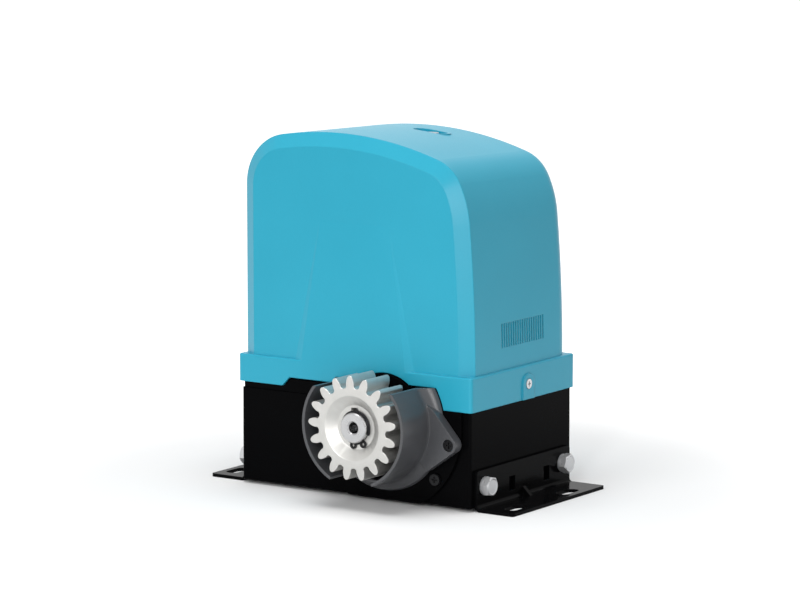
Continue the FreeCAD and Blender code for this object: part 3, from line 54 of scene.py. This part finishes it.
# Joined-up meshes, in metres and degrees.
MERGE_DISTANCE = 0.000002
SMOOTH_ANGLE = math.radians(22)


def srgb(red, green, blue):
    """Colour sockets take linear light; the finishes below are named as 0-255 values."""
    def linear(level):
        level /= 255
        return level / 12.92 if level <= 0.04045 else ((level + 0.055) / 1.055) ** 2.4
    return (linear(red), linear(green), linear(blue), 1.0)


# ------------------------------------------------------------------ node groups

class Graph:
    """Short ways to add and join the nodes of one tree."""

    def __init__(self, tree):
        self.tree = tree

    def add(self, kind, inputs=(), **settings):
        made = self.tree.nodes.new(kind)
        for name, setting in settings.items():
            setattr(made, name, setting)
        for key, source in dict(inputs).items():
            self.feed(made.inputs[key], source)
        return made

    def feed(self, socket, source):
        if hasattr(source, "is_linked"):
            self.tree.links.new(source, socket)
        else:
            socket.default_value = source

    def maths(self, operation, a, b=0.0):
        return self.add("ShaderNodeMath", {0: a, 1: b}, operation=operation).outputs[0]

    def noise(self, where, scale, detail=2.0):
        made = self.add("ShaderNodeTexNoise", {"Vector": where, "Scale": scale,
                                               "Detail": detail})
        return made.outputs["Fac"]

    def ramp(self, fac, low, high):
        """A float spread from low to high as fac goes from 0 to 1."""
        made = self.add("ShaderNodeMapRange", {"Value": fac, "To Min": low, "To Max": high})
        return made.outputs["Result"]

    def blend(self, fac, first, second):
        made = self.add("ShaderNodeMix", data_type="RGBA")
        for socket, source in ((made.inputs["Factor"], fac), (made.inputs[6], first),
                               (made.inputs[7], second)):
            self.feed(socket, source)
        return made.outputs[2]

    def background_rays(self):
        """1 for rays from the camera, off a shiny surface or through glass, and else 0."""
        ray = self.add("ShaderNodeLightPath").outputs
        shine = self.maths("MAXIMUM", ray["Is Glossy Ray"], ray["Is Transmission Ray"])
        return self.maths("MAXIMUM", ray["Is Camera Ray"], shine)


def new_group(name, inputs, outputs):
    """An empty node group with named float, colour or vector sockets."""
    group = bpy.data.node_groups.new(name, "ShaderNodeTree")
    for direction, sockets in (("INPUT", inputs), ("OUTPUT", outputs)):
        for label, kind in sockets.items():
            group.interface.new_socket(name=label, in_out=direction,
                                       socket_type="NodeSocket" + kind)
    graph = Graph(group)
    return group, graph, graph.add("NodeGroupInput"), graph.add("NodeGroupOutput")


def make_moulded_group():
    """Spark-eroded mould texture: fine pits, with a slow change in colour and gloss."""
    group, g, given, out = new_group(
        "Moulded surface",
        {"Colour": "Color", "Tint": "Color", "Gloss low": "Float", "Gloss high": "Float",
         "Grain size": "Float", "Depth": "Float", "Edge": "Float"},
        {"Colour": "Color", "Roughness": "Float", "Normal": "Vector"})
    where = g.add("ShaderNodeTexCoord").outputs["Object"]
    slow = g.noise(where, 14.0, 3.0)
    fine = g.noise(where, 900.0, 2.0)
    grain = g.add("ShaderNodeTexVoronoi", {"Vector": where, "Scale": given.outputs["Grain size"]})
    mixed = g.maths("ADD", g.maths("MULTIPLY", grain.outputs["Distance"], 0.6),
                    g.maths("MULTIPLY", fine, 0.4))
    edge = g.add("ShaderNodeBevel", {"Radius": given.outputs["Edge"]}, samples=4)
    bump = g.add("ShaderNodeBump", {"Strength": 1.0, "Distance": given.outputs["Depth"],
                                    "Height": mixed, "Normal": edge.outputs["Normal"]})
    speckle = g.maths("ADD", g.maths("MULTIPLY", slow, 0.7), g.maths("MULTIPLY", fine, 0.3))
    g.feed(out.inputs["Colour"], g.blend(speckle, given.outputs["Colour"],
                                         given.outputs["Tint"]))
    g.feed(out.inputs["Roughness"], g.ramp(mixed, given.outputs["Gloss low"],
                                           given.outputs["Gloss high"]))
    g.feed(out.inputs["Normal"], bump.outputs["Normal"])
    return group


def make_machined_group():
    """Tool marks round an axis along Y: rings on faces that the tool has turned."""
    group, g, given, out = new_group(
        "Turned marks",
        {"Axis": "Vector", "Pitch": "Float", "Depth": "Float", "Gloss low": "Float",
         "Gloss high": "Float"},
        {"Mask": "Float", "Roughness": "Float", "Normal": "Vector"})
    where = g.add("ShaderNodeTexCoord").outputs["Object"]
    offset = g.add("ShaderNodeVectorMath", {0: where, 1: given.outputs["Axis"]},
                   operation="SUBTRACT").outputs[0]
    parts = g.add("ShaderNodeSeparateXYZ", {0: offset})

    def square(axis):
        return g.maths("MULTIPLY", parts.outputs[axis], parts.outputs[axis])

    radius = g.maths("SQRT", g.maths("ADD", square("X"), square("Z")))
    count = g.maths("DIVIDE", radius, given.outputs["Pitch"])
    rings = g.noise(g.add("ShaderNodeCombineXYZ", {0: count}).outputs[0], 1.0, 3.0)
    patches = g.noise(where, 120.0, 4.0)
    bump = g.add("ShaderNodeBump", {"Strength": 0.6, "Distance": given.outputs["Depth"],
                                    "Height": rings})
    mask = g.maths("ADD", g.maths("MULTIPLY", rings, 0.5), g.maths("MULTIPLY", patches, 0.5))
    g.feed(out.inputs["Mask"], mask)
    g.feed(out.inputs["Roughness"], g.ramp(mask, given.outputs["Gloss low"],
                                           given.outputs["Gloss high"]))
    g.feed(out.inputs["Normal"], bump.outputs["Normal"])
    return group


def make_layers_group():
    """Thin even layers stacked along Z, as in punched steel sheets or wound wire."""
    group, g, given, out = new_group(
        "Layers", {"Pitch": "Float", "Depth": "Float"}, {"Mask": "Float", "Normal": "Vector"})
    where = g.add("ShaderNodeTexCoord").outputs["Object"]
    height = g.add("ShaderNodeSeparateXYZ", {0: where}).outputs["Z"]
    turn = g.maths("MULTIPLY", g.maths("DIVIDE", height, given.outputs["Pitch"]), 2 * math.pi)
    wave = g.maths("ADD", g.maths("MULTIPLY", g.maths("SINE", turn), 0.5), 0.5)
    bump = g.add("ShaderNodeBump", {"Strength": 1.0, "Distance": given.outputs["Depth"],
                                    "Height": wave})
    g.feed(out.inputs["Mask"], wave)
    g.feed(out.inputs["Normal"], bump.outputs["Normal"])
    return group


MOULDED = make_moulded_group()
TURNED = make_machined_group()
LAYERS = make_layers_group()


# -------------------------------------------------------------------- materials

def new_material(name, **plain):
    """A Principled material whose plain values are set on the shader's own sockets."""
    material = bpy.data.materials.new(name)
    material.use_nodes = True
    shader = material.node_tree.nodes["Principled BSDF"]
    for key, setting in plain.items():
        shader.inputs[key.replace("_", " ")].default_value = setting
    return material, Graph(material.node_tree), shader


def moulded(name, colour, tint, gloss, grain, depth, edge=0.0004, **plain):
    """A moulded, painted or cast surface, its edges rounded by a small radius."""
    material, g, shader = new_material(name, **plain)
    surface = g.add("ShaderNodeGroup", node_tree=MOULDED)
    values = {"Colour": colour, "Tint": tint, "Gloss low": gloss[0], "Gloss high": gloss[1],
              "Grain size": grain, "Depth": depth, "Edge": edge}
    for key, setting in values.items():
        surface.inputs[key].default_value = setting
    g.feed(shader.inputs["Base Color"], surface.outputs["Colour"])
    g.feed(shader.inputs["Roughness"], surface.outputs["Roughness"])
    g.feed(shader.inputs["Normal"], surface.outputs["Normal"])
    return material


def turned(name, light, dark, gloss, axis=OUTPUT_AXIS, pitch=0.0004, depth=0.00004,
           metal=1.0):
    """A machined or ground metal."""
    material, g, shader = new_material(name, Metallic=metal)
    marks = g.add("ShaderNodeGroup", node_tree=TURNED)
    values = {"Axis": axis, "Pitch": pitch, "Depth": depth, "Gloss low": gloss[0],
              "Gloss high": gloss[1]}
    for key, setting in values.items():
        marks.inputs[key].default_value = setting
    g.feed(shader.inputs["Base Color"], g.blend(marks.outputs["Mask"], light, dark))
    g.feed(shader.inputs["Roughness"], marks.outputs["Roughness"])
    g.feed(shader.inputs["Normal"], marks.outputs["Normal"])
    return material


def layered(name, light, dark, pitch, depth, **plain):
    """Stacked sheets or wound wire."""
    material, g, shader = new_material(name, **plain)
    stack = g.add("ShaderNodeGroup", node_tree=LAYERS)
    stack.inputs["Pitch"].default_value = pitch
    stack.inputs["Depth"].default_value = depth
    g.feed(shader.inputs["Base Color"], g.blend(stack.outputs["Mask"], dark, light))
    g.feed(shader.inputs["Normal"], stack.outputs["Normal"])
    return material


MATERIALS = {
    "teal_plastic": moulded("Teal plastic", srgb(36, 158, 186), srgb(48, 172, 200),
                            (0.26, 0.38), 1500.0, 0.00003, edge=0.0011, IOR=1.5,
                            Specular_IOR_Level=0.3),
    "black_paint": moulded("Black paint", srgb(5, 5, 6), srgb(10, 10, 11),
                           (0.14, 0.24), 260.0, 0.00001, edge=0.0009,
                           Specular_IOR_Level=0.012),
    "foot_paint": moulded("Black powder coat", srgb(5, 5, 6), srgb(11, 11, 12),
                          (0.12, 0.22), 320.0, 0.00001, edge=0.0007,
                          Specular_IOR_Level=0.03),
    "guard_plastic": moulded("Grey plastic", srgb(66, 67, 70), srgb(76, 77, 80),
                             (0.26, 0.38), 1400.0, 0.00003, edge=0.0009),
    "cast_aluminium": moulded("Die-cast aluminium", srgb(160, 162, 164), srgb(140, 142, 146),
                              (0.38, 0.58), 700.0, 0.00008, Metallic=1.0),
    "seal_rubber": moulded("Nitrile rubber", srgb(20, 20, 20), srgb(30, 30, 30),
                           (0.55, 0.75), 900.0, 0.00004),
    "fan_plastic": moulded("Fan plastic", srgb(28, 28, 30), srgb(36, 36, 38),
                           (0.4, 0.55), 1200.0, 0.00003),
    "black_plastic": moulded("Black plastic", srgb(22, 22, 24), srgb(30, 30, 32),
                             (0.25, 0.35), 1200.0, 0.00001),
    "terminal_green": moulded("Green plastic", srgb(38, 128, 68), srgb(46, 138, 76),
                              (0.35, 0.5), 1200.0, 0.00002),
    "capacitor_white": moulded("White case", srgb(222, 222, 216), srgb(212, 212, 206),
                               (0.25, 0.4), 1200.0, 0.00001),
    "board_green": moulded("Circuit board", srgb(18, 84, 48), srgb(26, 98, 58),
                           (0.2, 0.3), 400.0, 0.00003),
    "black_steel": moulded("Black oxide", srgb(18, 18, 20), srgb(30, 30, 32),
                           (0.3, 0.45), 900.0, 0.00002, Metallic=0.6),
    "zinc_steel": turned("Zinc plate", srgb(214, 214, 214), srgb(184, 186, 190),
                         (0.22, 0.36), axis=(0.0, 0.0, 0.0), pitch=0.002, depth=0.00001,
                         metal=0.6),
    "pinion_steel": turned("Machined steel", srgb(212, 211, 208), srgb(176, 175, 171),
                           (0.3, 0.46), metal=0.7),
    "ground_steel": turned("Ground steel", srgb(190, 190, 190), srgb(160, 160, 162),
                           (0.2, 0.34)),
    "plated_steel": turned("Plated sheet", srgb(188, 190, 192), srgb(166, 170, 176),
                           (0.3, 0.5), axis=(0.0, 0.0, 0.0), pitch=0.003, depth=0.00001),
    "bronze": turned("Bronze", srgb(190, 140, 78), srgb(160, 112, 58), (0.25, 0.4)),
    "lamination": layered("Laminations", srgb(120, 122, 126), srgb(62, 64, 68),
                          0.0005, 0.0001, Metallic=0.9, Roughness=0.5),
    "copper": layered("Copper wire", srgb(176, 92, 48), srgb(96, 44, 22),
                      0.0009, 0.0004, Metallic=0.9, Roughness=0.32),
}


def dress_nodes():
    """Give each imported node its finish."""
    for part in frame["record"]["subparts"]:
        mesh = frame["nodes"][part["node"]].data
        mesh.materials.clear()
        mesh.materials.append(MATERIALS[part["material_slot"]])


dress_nodes()


# ------------------------------------------------------------ pieces made here

def activate(piece):
    """Make a piece the only one selected, so that operators act on it alone."""
    bpy.ops.object.select_all(action="DESELECT")
    piece.select_set(True)
    bpy.context.view_layer.objects.active = piece


def edit(*steps):
    """Run operators on the whole mesh of the active object in edit mode."""
    bpy.ops.object.mode_set(mode="EDIT")
    bpy.ops.mesh.select_all(action="SELECT")
    for step in steps:
        step()
    bpy.ops.object.mode_set(mode="OBJECT")


def select_faces(piece, wanted):
    """Select the faces whose centre and normal pass a test, and nothing else."""
    bpy.ops.object.mode_set(mode="EDIT")
    bpy.ops.mesh.select_mode(type="FACE")
    bpy.ops.mesh.select_all(action="DESELECT")
    bpy.ops.object.mode_set(mode="OBJECT")
    for face in piece.data.polygons:
        face.select = wanted(face.center, face.normal)
    bpy.ops.object.mode_set(mode="EDIT")


def apply_modifier(piece, kind, **settings):
    made = piece.modifiers.new(kind.title(), kind)
    for name, setting in settings.items():
        setattr(made, name, setting)
    bpy.ops.object.modifier_apply(modifier=made.name)


def settle(piece):
    """Put a piece's place into its mesh."""
    activate(piece)
    bpy.ops.object.transform_apply(location=True, rotation=True, scale=True)


def clean_copy(name, node):
    """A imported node's loose triangles, joined up into a piece of its own."""
    piece = bpy.data.objects.new(name, frame["nodes"][node].data.copy())
    bpy.context.scene.collection.objects.link(piece)
    activate(piece)
    edit(lambda: bpy.ops.mesh.remove_doubles(threshold=MERGE_DISTANCE),
         lambda: bpy.ops.mesh.dissolve_limited(angle_limit=math.radians(0.6)))
    return piece


def finish_piece(piece, body, slot, *replaced):
    """Give a piece its finish, its body and the nodes that it stands for."""
    settle(piece)
    bpy.ops.object.shade_smooth_by_angle(angle=SMOOTH_ANGLE)
    piece.data.materials.clear()
    piece.data.materials.append(MATERIALS[slot])
    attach(piece, body)
    if replaced:
        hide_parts(*replaced)


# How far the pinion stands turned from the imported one, and its broken edges.
PINION_TURN = math.radians(5.7)
PINION_EDGE = 0.00035


def make_pinion_gear():
    """The pinion with its sharp edges broken, a part of a tooth round from the node."""
    gear = clean_copy("pinion_gear", "pinion")
    edit(lambda: bpy.ops.transform.rotate(value=PINION_TURN, orient_axis="Y",
                                          center_override=OUTPUT_AXIS))
    apply_modifier(gear, "BEVEL", width=PINION_EDGE, segments=2, limit_method="ANGLE",
                   angle_limit=math.radians(35))
    finish_piece(gear, "output_drive", "pinion_steel", "pinion")


def make_retaining_ring():
    """An open spring ring with two drilled lugs in the groove of the shaft's nose."""
    low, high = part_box("shaft_circlip")
    middle = (low[1] + high[1]) / 2
    thick = high[1] - low[1]
    inner, outer = 0.0104, 0.0124
    lug_reach, lug_radius, lug_wall = 0.0132, 0.0027, 0.0016
    gap_at, spread = math.radians(-80), math.radians(19)
    start = gap_at + spread
    parts = []
    bpy.ops.object.select_all(action="DESELECT")
    bpy.ops.mesh.primitive_plane_add(size=1.0)
    section = bpy.context.object
    section.scale = (outer - inner, thick, 1.0)
    section.location = ((outer + inner) / 2, 0.0, 0.0)
    settle(section)
    edit(lambda: bpy.ops.mesh.spin(steps=48, angle=2 * math.pi - 2 * spread,
                                   center=(0.0, 0.0, 0.0), axis=(0.0, -1.0, 0.0)),
         lambda: bpy.ops.mesh.select_all(action="SELECT"),
         lambda: bpy.ops.mesh.remove_doubles(threshold=MERGE_DISTANCE),
         lambda: bpy.ops.mesh.normals_make_consistent(inside=False))
    section.rotation_euler = (0.0, -start, 0.0)
    settle(section)
    parts.append(section)
    for angle in (gap_at - spread, gap_at + spread):
        bpy.ops.object.select_all(action="DESELECT")
        bpy.ops.mesh.primitive_cylinder_add(vertices=28, radius=lug_radius, depth=thick * 1.05,
                                            rotation=(math.pi / 2, 0.0, 0.0))
        lug = bpy.context.object
        lug.location = (lug_reach * math.cos(angle), 0.0, lug_reach * math.sin(angle))
        settle(lug)
        select_faces(lug, lambda centre, normal: abs(normal.y) > 0.9)
        bpy.ops.mesh.inset(thickness=lug_wall, use_individual=True)
        bpy.ops.mesh.bridge_edge_loops()
        bpy.ops.object.mode_set(mode="OBJECT")
        parts.append(lug)
    activate(section)
    for part in parts:
        part.select_set(True)
    bpy.ops.object.join()
    section.name = "retaining_ring"
    section.location = (OUTPUT_AXIS[0], middle, OUTPUT_AXIS[2])
    settle(section)
    apply_modifier(section, "BEVEL", width=0.00015, segments=1, limit_method="ANGLE",
                   angle_limit=math.radians(40))
    finish_piece(section, "output_drive", "black_steel", "shaft_circlip")


def make_foot_bolt():
    """An M8 hexagon screw along X with a spring washer; its seat is at x = 0."""
    across, head, washer, shank = 0.013, 0.0053, 0.0018, 0.0174
    crown_base, crown_tip, crown_depth = 0.0162, 0.0059, 0.0062
    washer_radius, shank_radius = 0.0068, 0.004
    rim, dish, dish_rim = 0.0009, 0.0004, 0.0006
    bpy.ops.object.select_all(action="DESELECT")
    turn = (0.0, math.pi / 2, 0.0)
    bpy.ops.mesh.primitive_cylinder_add(
        vertices=6, radius=across / 2 / math.cos(math.pi / 6), depth=head,
        location=(washer + head / 2, 0.0, 0.0), rotation=turn)
    bolt = bpy.context.object
    settle(bolt)
    bpy.ops.object.select_all(action="DESELECT")
    bpy.ops.mesh.primitive_cone_add(
        vertices=72, radius1=crown_base, radius2=crown_tip, depth=crown_depth,
        location=(washer + head - crown_depth / 2, 0.0, 0.0), rotation=turn)
    crown = bpy.context.object
    settle(crown)
    activate(bolt)
    apply_modifier(bolt, "BOOLEAN", operation="INTERSECT", object=crown, solver="EXACT")
    bpy.data.objects.remove(crown)
    edit(lambda: bpy.ops.mesh.remove_doubles(threshold=0.0002),
         lambda: bpy.ops.mesh.dissolve_limited(angle_limit=math.radians(1)))
    select_faces(bolt, lambda centre, normal: normal.x > 0.99)
    bpy.ops.mesh.inset(thickness=rim)
    bpy.ops.transform.translate(value=(-dish, 0.0, 0.0))
    bpy.ops.mesh.inset(thickness=dish_rim)
    bpy.ops.object.mode_set(mode="OBJECT")
    rings = []
    for radius, length, middle in ((washer_radius, washer, washer / 2),
                                   (shank_radius, shank, -shank / 2)):
        bpy.ops.object.select_all(action="DESELECT")
        bpy.ops.mesh.primitive_cylinder_add(vertices=40, radius=radius, depth=length,
                                            location=(middle, 0.0, 0.0), rotation=turn)
        rings.append(bpy.context.object)
        settle(rings[-1])
    activate(bolt)
    for ring in rings:
        ring.select_set(True)
    bpy.ops.object.join()
    return bolt


def make_foot_bolts():
    """Four copies of the bolt, on the outer faces of the two feet."""
    model = make_foot_bolt()
    low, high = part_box("foot_bolts")
    head = 0.005
    across = 0.013 / math.cos(math.pi / 6) / 2
    for side, edge in ((1, high), (-1, low)):
        for end, reach in ((-1, low[1] + across), (1, high[1] - across)):
            bolt = model.copy()
            bolt.data = model.data.copy()
            bpy.context.scene.collection.objects.link(bolt)
            bolt.name = "foot_bolt_%s_%s" % ("right" if side > 0 else "left",
                                             "rear" if end > 0 else "front")
            bolt.rotation_euler = (math.radians(12 * end), 0.0, 0.0 if side > 0 else math.pi)
            bolt.location = (edge[0] - side * head, reach, (low[2] + high[2]) / 2)
            finish_piece(bolt, "base", "zinc_steel", "foot_bolts")
    bpy.data.objects.remove(model)


def make_key_lock():
    """The bright lock of the release port."""
    lock = clean_copy("key_lock", "release_plug")
    apply_modifier(lock, "BEVEL", width=0.0002, segments=2, limit_method="ANGLE",
                   angle_limit=math.radians(35))
    finish_piece(lock, "base", "zinc_steel", "release_plug")


make_pinion_gear()
make_retaining_ring()
make_foot_bolts()
make_key_lock()


# ------------------------------------------------------------- camera and light

def aim(thing, azimuth, elevation, distance, target):
    """Stand a camera or light round a target, facing it; azimuth 0 is in front."""
    turn = Euler((math.radians(90 - elevation), 0, math.radians(azimuth)))
    thing.rotation_euler = turn
    thing.location = Vector(target) + turn.to_matrix() @ Vector((0, 0, distance))


def make_camera():
    data = bpy.data.cameras.new("Camera")
    data.lens = 170.0
    data.sensor_width = 36.0
    data.clip_start = 0.05
    data.clip_end = 100.0
    camera = bpy.data.objects.new("Camera", data)
    bpy.context.scene.collection.objects.link(camera)
    aim(camera, azimuth=34.277, elevation=8.459, distance=2.8104,
        target=(-0.01745, 0.03827, 0.13342))
    bpy.context.scene.camera = camera


def area_light(name, azimuth, elevation, distance, width, height, power,
               target=(0.0, 0.0, 0.13)):
    data = bpy.data.lights.new(name, "AREA")
    data.shape = "ELLIPSE"
    data.size = width
    data.size_y = height
    data.energy = power
    light = bpy.data.objects.new(name, data)
    bpy.context.scene.collection.objects.link(light)
    aim(light, azimuth, elevation, distance, target)


def make_world():
    """White to the eye, in reflections and through glass; a soft even light on surfaces."""
    world = bpy.data.worlds.new("Studio")
    world.use_nodes = True
    world.cycles.sampling_method = "NONE"
    bpy.context.scene.world = world
    g = Graph(world.node_tree)
    diffuse = g.add("ShaderNodeLightPath").outputs["Is Diffuse Ray"]
    soft = g.ramp(diffuse, 0.12, 0.3)
    shade = world.node_tree.nodes["Background"]
    g.feed(shade.inputs["Color"], (1.0, 1.0, 1.0, 1.0))
    g.feed(shade.inputs["Strength"], g.maths("MAXIMUM", g.background_rays(), soft))


def make_floor():
    """A pale floor that takes the shadow; farther out it fades to white."""
    bpy.ops.object.select_all(action="DESELECT")
    bpy.ops.mesh.primitive_circle_add(vertices=96, radius=6.0, fill_type="NGON")
    floor = bpy.context.object
    floor.name = "floor"
    material, g, shader = new_material("Floor", Roughness=0.9)
    shader.inputs["Specular IOR Level"].default_value = 0.0
    where = g.add("ShaderNodeTexCoord").outputs["Object"]
    reach = g.add("ShaderNodeVectorMath", {0: where}, operation="LENGTH").outputs["Value"]

    def fade(near, far):
        return g.add("ShaderNodeMapRange",
                     {"Value": reach, "From Min": near, "From Max": far},
                     interpolation_type="SMOOTHSTEP").outputs["Result"]

    pale = g.blend(g.noise(where, 3.0), (0.9, 0.9, 0.9, 1.0), (0.92, 0.92, 0.92, 1.0))
    g.feed(shader.inputs["Base Color"], g.blend(fade(0.45, 0.75), pale,
                                                (0.3, 0.3, 0.3, 1.0)))
    g.feed(shader.inputs["Emission Color"], (1.0, 1.0, 1.0, 1.0))
    g.feed(shader.inputs["Emission Strength"],
           g.maths("MULTIPLY", g.background_rays(), fade(0.2, 0.6)))
    floor.data.materials.append(material)


make_camera()
make_world()
make_floor()
# Each light's azimuth, elevation, distance, width, height and power in watts.
area_light("Key", -8, 22, 2.5, 1.1, 1.1, 15)
area_light("Strip", 27, 12, 1.2, 0.16, 0.75, 4.2)
area_light("Top", 0, 88, 2.4, 2.0, 2.0, 46)
bpy.context.scene.view_settings.view_transform = "Standard"
